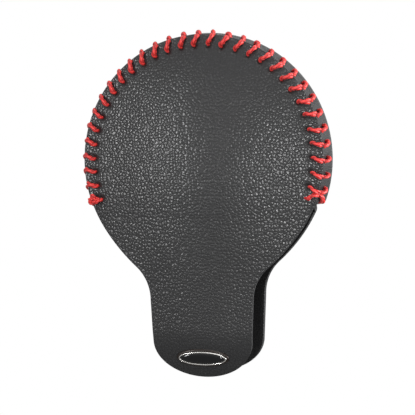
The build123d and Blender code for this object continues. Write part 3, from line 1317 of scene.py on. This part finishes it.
# ------------------------------------------------------------------ the badge
@dataclass
class Badge:
    """The plain oval badge near the front tongue's tip, and what holds it on.

    Each profile is a list of rings: how far a ring lies inside the outline, and its height.
    """

    width: float = 16.3
    height: float = 5.9
    bevel: tuple[tuple[float, float], ...] = (
        (0.0, -0.45), (0.0, -0.2), (0.12, 0.02), (0.35, 0.18), (0.62, 0.25), (0.75, 0.25),
    )
    rim_inset: float = 0.98
    rim_half: float = 0.26
    rim_foot: float = 0.28
    rim_rise: float = 0.34
    dome_inset: float = 1.22
    dome_foot: tuple[float, float] = (0.2, 0.34)
    dome_rise: float = 0.5
    dome_steps: tuple[float, ...] = (0.03, 0.08, 0.16, 0.28, 0.42, 0.58, 0.74, 0.88, 0.96)
    lean: float = field(init=False)
    seat: Vector = field(init=False)

    def __post_init__(self) -> None:
        """Read the badge's seat and lean from its CAD base."""
        mesh = frame["nodes"]["badge_base"].data
        under = max(mesh.polygons, key=lambda p: (p.normal.y, p.area))
        self.lean = math.atan2(under.normal.z, under.normal.y)
        low, high = node_box("badge_base")
        self.seat = (low + high) / 2

    def stack(self, name: str, rings: Sequence[tuple[float, float]], hollow: bool = False) -> Object:
        """Build an oval piece by extruding an outline ring by ring.

        Args:
            name: the object's name.
            rings: how far each ring lies inside the badge's outline, and its height.
            hollow: close the last ring to the first instead of capping both.

        Returns:
            The closed mesh, lying flat at the origin.
        """
        bpy.ops.object.select_all(action="DESELECT")
        bpy.ops.mesh.primitive_circle_add(
            vertices=96, radius=1.0, fill_type="NOTHING" if hollow else "NGON"
        )
        obj = bpy.context.object
        obj.name = obj.data.name = name
        size = [((self.width / 2 - i) * MM, (self.height / 2 - i) * MM) for i, _ in rings]
        select_only(obj)
        bpy.ops.object.mode_set(mode="EDIT")
        bpy.ops.mesh.select_all(action="SELECT")
        bpy.ops.transform.resize(value=(*size[0], 1))
        bpy.ops.transform.translate(value=(0, 0, rings[0][1] * MM))
        for last, now, (_, z0), (_, z1) in zip(size, size[1:], rings, rings[1:]):
            if hollow:
                bpy.ops.mesh.extrude_edges_move()
            else:
                bpy.ops.mesh.extrude_region_move()
            bpy.ops.transform.translate(value=(0, 0, (z1 - z0) * MM))
            bpy.ops.transform.resize(value=(now[0] / last[0], now[1] / last[1], 1))
        if hollow:
            bpy.ops.mesh.select_all(action="DESELECT")
            bpy.ops.mesh.select_non_manifold()
            bpy.ops.mesh.bridge_edge_loops()
        bpy.ops.mesh.select_all(action="SELECT")
        bpy.ops.mesh.normals_make_consistent(inside=False)
        bpy.ops.object.mode_set(mode="OBJECT")
        return obj

    def seat_on(self, obj: Object, height: float) -> Object:
        """Turn a piece to the tongue's lean and move it to its height on the seat.

        Args:
            obj: a piece lying flat at the origin.
            height: its base above the middle of the CAD base.

        Returns:
            The same piece.
        """
        out = Vector((0, -math.cos(self.lean), -math.sin(self.lean)))
        across = Vector((1, 0, 0))
        up = out.cross(across)
        turn = Matrix((across, up, out)).transposed().to_4x4()
        spot = (self.seat + out * height) * MM
        obj.data.transform(Matrix.Translation(spot) @ turn)
        return obj

    def build(self, base: Material, rim: Material, dome: Material, plate: Material) -> None:
        """Make the badge's visible pieces and dress the ones behind the leather.

        Args:
            base: the base's material.
            rim: the rim's material.
            dome: the dome's material.
            plate: the backing plate's and the pins' material.
        """
        made = self.seat_on(self.stack("badge_base_oval", self.bevel), 0)
        finish_piece(made, "front_flap", "badge_base", base)
        ring = [
            (self.rim_inset - self.rim_half * math.cos(t), self.rim_foot + self.rim_rise * math.sin(t))
            for t in np.linspace(0, math.pi, 9)
        ]
        made = self.seat_on(self.stack("badge_rim_ring", ring, hollow=True), 0)
        finish_piece(made, "front_flap", "badge_rim", rim)
        inset, (foot, top) = self.dome_inset, self.dome_foot
        half = self.height / 2 - inset
        bulge = [(inset, foot), (inset, top)]
        for s in self.dome_steps:
            bulge.append((inset + half * s, top + self.dome_rise * math.sin(math.acos(1 - s))))
        made = self.seat_on(self.stack("badge_dome_lens", bulge), 0)
        finish_piece(made, "front_flap", "badge_dome", dome)
        for node in ("badge_backing_plate", "badge_pins"):
            obj = frame["nodes"][node]
            obj.data.materials.clear()
            obj.data.materials.append(plate)


# ------------------------------------------------------------------ the studio
@dataclass(frozen=True)
class Softbox:
    """A rectangular soft light, placed by its direction from the cover, in degrees and mm."""

    name: str
    azimuth: float
    elevation: float
    width: float
    height: float
    watts: float
    distance: float = 800.0


@dataclass
class Studio:
    """A pale floor, soft lights and the camera.

    The two tall strips give the pebbles their bright bands, the fill lights the sewn
    margin from the side, and the small glint shows the badge's dome.
    """

    softboxes: tuple[Softbox, ...] = (
        Softbox("Left strip", -29, -5, 46, 480, 2.4),
        Softbox("Right strip", 5, -12, 66, 440, 3.7),
        Softbox("Top softbox", 10, 60, 500, 400, 1.5),
        Softbox("Right fill", 98, 6, 400, 500, 11.0),
        Softbox("Badge glint", 48, 4, 260, 200, 1.4),
    )
    middle: tuple[float, float, float] = (0.0, 3.0, 0.0)
    azimuth: float = 17.0
    elevation: float = 1.5
    distance: float = 560.0
    target: tuple[float, float, float] = (-0.1, 5.0, -14.5)
    view_mm: float = 124.5
    sensor: float = 36.0
    clip: tuple[float, float] = (0.01, 20.0)
    surround: float = 0.68
    floor_drop: float = 30.0
    floor_side: float = 6.0
    paper: str = "#8c8c8c"

    def toward(self, azimuth: float, elevation: float) -> Vector:
        """The direction at an azimuth from -Y towards +X, and an elevation, in degrees."""
        a, e = math.radians(azimuth), math.radians(elevation)
        return Vector((math.sin(a) * math.cos(e), -math.cos(a) * math.cos(e), math.sin(e)))

    def aim(self, obj: Object, place: Vector, target: Vector) -> None:
        """Point an object's -Z at a target.

        Args:
            obj: the camera or light.
            place: where it stands, in millimetres.
            target: what it looks at.
        """
        obj.location = place * MM
        obj.rotation_euler = (target - place).to_track_quat("-Z", "Y").to_euler()

    def hang(self, box: Softbox) -> None:
        """Hang a softbox so that it faces the cover.

        Args:
            box: the softbox.
        """
        lamp = bpy.data.lights.new(box.name, "AREA")
        lamp.shape = "RECTANGLE"
        lamp.size, lamp.size_y = box.width * MM, box.height * MM
        lamp.energy = box.watts
        obj = bpy.data.objects.new(box.name, lamp)
        bpy.context.collection.objects.link(obj)
        middle = Vector(self.middle)
        self.aim(obj, middle + self.toward(box.azimuth, box.elevation) * box.distance, middle)

    def build(self) -> None:
        """Set up the camera, the world, the floor and the lights."""
        scene = bpy.context.scene
        scene.view_settings.view_transform = "Standard"
        target = Vector(self.target)
        back = self.toward(self.azimuth, self.elevation)
        camera = bpy.data.cameras.new("Camera")
        camera.sensor_width = self.sensor
        camera.lens = self.sensor * self.distance / self.view_mm
        camera.clip_start, camera.clip_end = self.clip
        obj = bpy.data.objects.new("Camera", camera)
        bpy.context.collection.objects.link(obj)
        self.aim(obj, target + back * self.distance, target)
        scene.camera = obj
        self.light_world()
        self.lay_floor()
        for box in self.softboxes:
            self.hang(box)

    def light_world(self) -> None:
        """Make the surroundings white to the eye, and dimmer as a light."""
        world = bpy.data.worlds.new("Studio")
        bpy.context.scene.world = world
        world.use_nodes = True
        tree = world.node_tree
        tree.nodes.clear()
        path = tree.nodes.new("ShaderNodeLightPath")
        blend = tree.nodes.new("ShaderNodeMixShader")
        output = tree.nodes.new("ShaderNodeOutputWorld")
        tree.links.new(path.outputs["Is Camera Ray"], blend.inputs[0])
        for slot, strength in ((1, self.surround), (2, 1.0)):
            back = tree.nodes.new("ShaderNodeBackground")
            back.inputs["Color"].default_value = (1, 1, 1, 1)
            back.inputs["Strength"].default_value = strength
            tree.links.new(back.outputs[0], blend.inputs[slot])
        tree.links.new(blend.outputs[0], output.inputs["Surface"])

    def lay_floor(self) -> None:
        """Lay a plain white floor below the cover, which is held up as if on its knob."""
        low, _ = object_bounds()
        bpy.ops.object.select_all(action="DESELECT")
        bpy.ops.mesh.primitive_plane_add(size=self.floor_side)
        floor = bpy.context.object
        floor.name = "floor"
        floor.data.transform(Matrix.Translation((0, 0, low.z - self.floor_drop * MM)))
        board = Board("Studio white paper")
        board.set(Base_Color=linear(self.paper), Roughness=0.9)
        seen = board.add("ShaderNodeEmission", {}, {"Color": (1, 1, 1, 1), "Strength": 1.0})
        path = board.add("ShaderNodeLightPath")
        blend = board.add(
            "ShaderNodeMixShader", {},
            {0: path.outputs["Is Camera Ray"], 1: board.shader.outputs[0], 2: seen.outputs[0]},
        )
        output = next(n for n in board.tree.nodes if n.type == "OUTPUT_MATERIAL")
        board.tree.links.new(blend.outputs[0], output.inputs["Surface"])
        floor.data.materials.append(board.material)
        floor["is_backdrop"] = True


# ------------------------------------------------------------------ making it
def main() -> None:
    """Build the cover's pieces in order."""
    logging.basicConfig(level=logging.INFO, format="%(message)s")
    Studio().build()
    grain = PebbledLeather().make()
    backing = LeatherBacking().make()
    cut = CutEdge().make()
    thread = WaxedThread().make()

    crown_low, crown_high = node_box("front_panel_crown")
    head_r = (crown_high.x - crown_low.x) / 2
    stitching = Stitching(head_r)
    front_low, _ = node_box("front_panel_flap")
    back_low, _ = node_box("back_panel_flap")
    front = FrontPanel(
        Side.FRONT, Keyhole(head_r, front_low.z), stitching, joint_at("front_flap_bend"),
        crown=-crown_low.y - FrontPanel.leather,
    )
    back = BackPanel(
        Side.BACK, Keyhole(head_r - BACK_EASE, back_low.z, rise=BACK_RISE), stitching,
        joint_at("back_flap_bend"),
    )
    for panel, name in ((front, "front"), (back, "back")):
        made = panel.make(f"{name}_leather_panel", grain, backing, cut)
        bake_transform(made)
        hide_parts(f"{name}_panel_crown", f"{name}_panel_flap")
        report(made)

    Seam(stitching, back.leather).build(thread)
    # Moulded and painted: a dull brown sheen round the badge.
    # Plated brass: a thin bright line.
    # Cast clear over black: sharp, small reflections.
    # Electroplated sheet: grey, with a faint spangle, behind the leather.
    finishes = (
        Glossy("Dark bronze ABS", "#1b1512", "#2a211c", 0.35, 0.22),
        Glossy("Polished chrome plate", "#e4e2de", "#cfcdc8", 1.0, 0.16),
        Glossy("Black gloss resin", "#060607", "#0a0a0b", 0.0, 0.05),
        Glossy("Zinc-plated steel", "#8f8f8d", "#a3a3a0", 1.0, 0.32),
    )
    Badge().build(*(finish.make() for finish in finishes))


if __name__ == "__main__":
    main()
